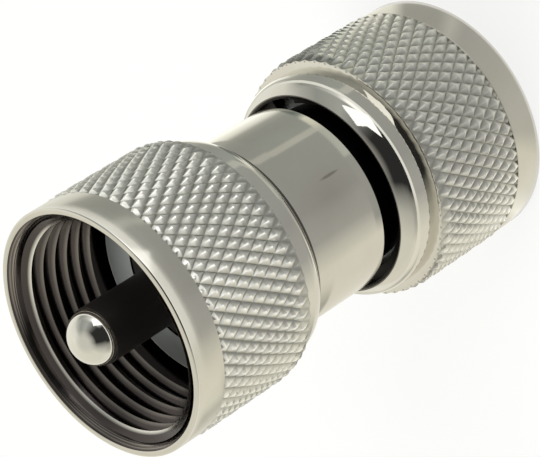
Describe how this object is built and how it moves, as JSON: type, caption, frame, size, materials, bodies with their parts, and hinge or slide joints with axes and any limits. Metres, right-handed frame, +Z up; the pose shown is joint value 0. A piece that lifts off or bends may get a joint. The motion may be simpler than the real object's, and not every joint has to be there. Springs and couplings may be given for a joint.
{
  "type": "uhf plug to plug adaptor",
  "caption": "Coaxial plug-to-plug adaptor: a smooth barrel with a knurled, threaded coupling nut and a domed contact pin on each end.",
  "frame": {"origin": "on the common axis, in the plane of the lower coupling nut's mouth, on which the adaptor stands", "axes": "+Z up along the common axis, from the lower plug to the upper plug"},
  "size_m": [0.018, 0.018, 0.0359],
  "materials": {
    "plated_body": "satin nickel plate",
    "plated_nut": "bright nickel plate",
    "plated_pin": "bright nickel plate",
    "black_insulator": "moulded",
    "spring_ring": "dark spring steel"
  },
  "bodies": {
    "adaptor": {"adaptor_body": "plated_body", "centre_conductor": "plated_pin", "upper_insulator": "black_insulator", "lower_insulator": "black_insulator"},
    "upper_ring": {"upper_retaining_ring": "spring_ring"},
    "upper_nut": {"upper_coupling_nut": "plated_nut"},
    "lower_ring": {"lower_retaining_ring": "spring_ring"},
    "lower_nut": {"lower_coupling_nut": "plated_nut"}
  },
  "joints": [
    {"name": "upper_nut_slide", "type": "slide", "parent": "adaptor", "child": "upper_ring", "axis": [0, 0, 1], "range_m": [0, 0.00224]},
    {"name": "upper_nut_spin", "type": "hinge", "parent": "upper_ring", "child": "upper_nut", "pos_m": [0, 0, 0.022], "axis": [0, 0, 1], "continuous": true},
    {"name": "lower_nut_slide", "type": "slide", "parent": "adaptor", "child": "lower_ring", "axis": [0, 0, 1], "range_m": [-0.00024, 0.002]},
    {"name": "lower_nut_spin", "type": "hinge", "parent": "lower_ring", "child": "lower_nut", "pos_m": [0, 0, 0.012], "axis": [0, 0, 1], "continuous": true}
  ]
}
